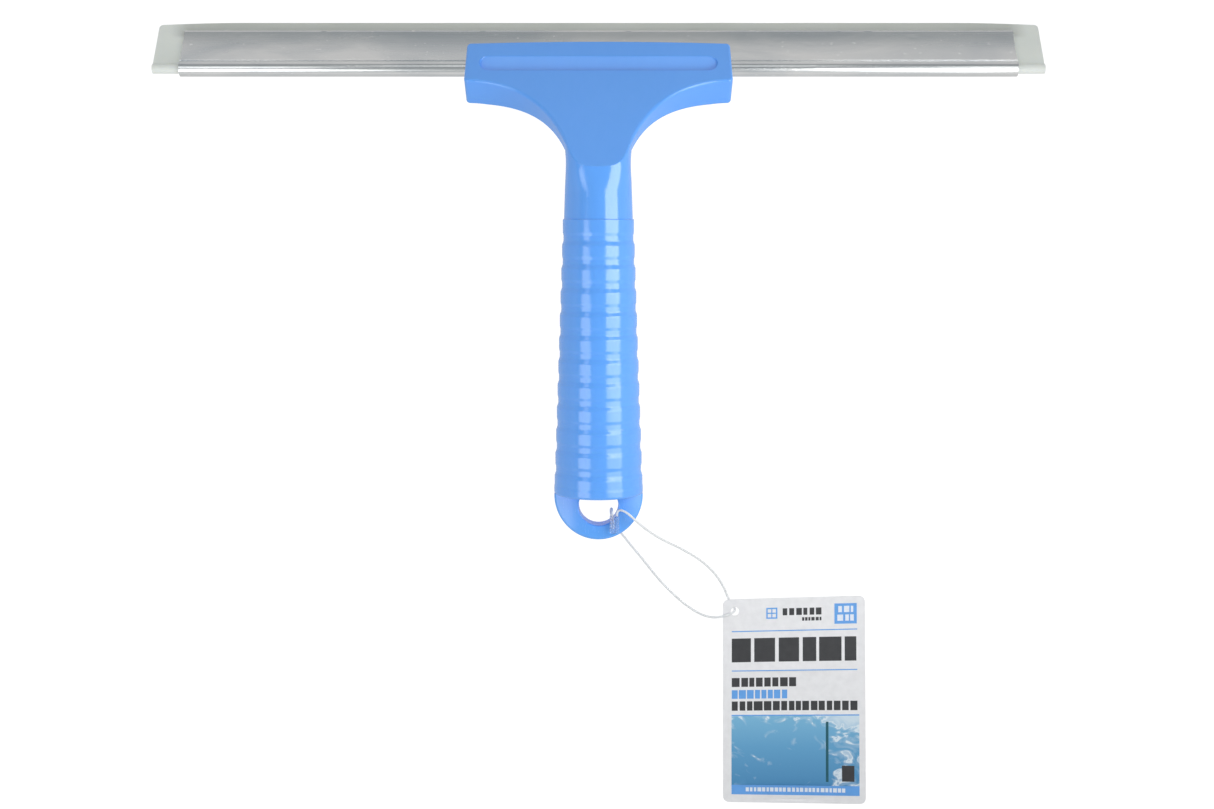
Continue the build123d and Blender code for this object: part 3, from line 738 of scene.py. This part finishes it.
def add_softbox(name, at, target, size, radiance, shape="RECTANGLE"):
    """A diffuse panel that faces the target; radiance is its brightness as seen."""
    data = bpy.data.lights.new(name, "AREA")
    data.shape = shape
    data.size, data.size_y = size
    area = size[0] * size[1] * (math.pi / 4 if shape == "ELLIPSE" else 1)
    data.energy = radiance * 4 * area
    lamp = bpy.data.objects.new(name, data)
    lamp.location = at
    direction = Vector(target) - Vector(at)
    lamp.rotation_mode = "QUATERNION"
    lamp.rotation_quaternion = direction.to_track_quat("-Z", "Y")
    lamp.visible_camera = False
    bpy.context.scene.collection.objects.link(lamp)


def add_world():
    """Pale surroundings: bright low down and behind the loop, greyer high above the blade."""
    world = bpy.data.worlds.new("world")
    bpy.context.scene.world = world
    world.use_nodes = True
    tree = world.node_tree
    sky = tree.nodes["Background"]
    where = tree.nodes.new("ShaderNodeTexCoord")
    parts = tree.nodes.new("ShaderNodeSeparateXYZ")
    tree.links.new(where.outputs["Generated"], parts.inputs["Vector"])
    low_down, overhead = (0.66, 0.66, 0.66), (0.33, 0.355, 0.365)
    height = sky_ramp(tree, parts.outputs["Z"], (0.25, low_down), (0.62, overhead))
    behind = sky_ramp(tree, parts.outputs["Y"], (-0.6, (0.16, 0.16, 0.16)), (0.0, (0.0, 0.0, 0.0)))
    total = tree.nodes.new("ShaderNodeMix")
    total.data_type = "RGBA"
    total.blend_type = "ADD"
    total.inputs["Factor"].default_value = 1.0
    tree.links.new(height, total.inputs[6])
    tree.links.new(behind, total.inputs[7])
    tree.links.new(total.outputs[2], sky.inputs["Color"])


def sky_ramp(tree, component, low, high):
    """Blends from one colour to another as a direction's component passes between two values."""
    reach = tree.nodes.new("ShaderNodeMapRange")
    reach.interpolation_type = "SMOOTHSTEP"
    reach.inputs["From Min"].default_value = low[0]
    reach.inputs["From Max"].default_value = high[0]
    tree.links.new(component, reach.inputs["Value"])
    mix = tree.nodes.new("ShaderNodeMix")
    mix.data_type = "RGBA"
    tree.links.new(reach.outputs["Result"], mix.inputs["Factor"])
    mix.inputs[6].default_value = (*low[1], 1.0)
    mix.inputs[7].default_value = (*high[1], 1.0)
    return mix.outputs[2]


add_floor()
add_world()
for name, middle_y, length_y, radiance in RIGHT_PANELS:
    at = (RIGHT_PANEL_AT[0], middle_y, RIGHT_PANEL_AT[1])
    target = (RIGHT_PANEL_AIM[0], middle_y, RIGHT_PANEL_AIM[1])
    add_softbox(name, at, target, (length_y, RIGHT_PANEL_HEIGHT), radiance)
add_softbox("left_softbox", LEFT_AT, LEFT_AIM, LEFT_SIZE, LEFT_RADIANCE, "ELLIPSE")
for name, x, y, size, radiance in BACK_PANELS:
    add_softbox(name, (x, y, BACK_PANEL_Z), (x, y - 0.01, 0), size, radiance)
bpy.context.scene.view_settings.view_transform = "Standard"
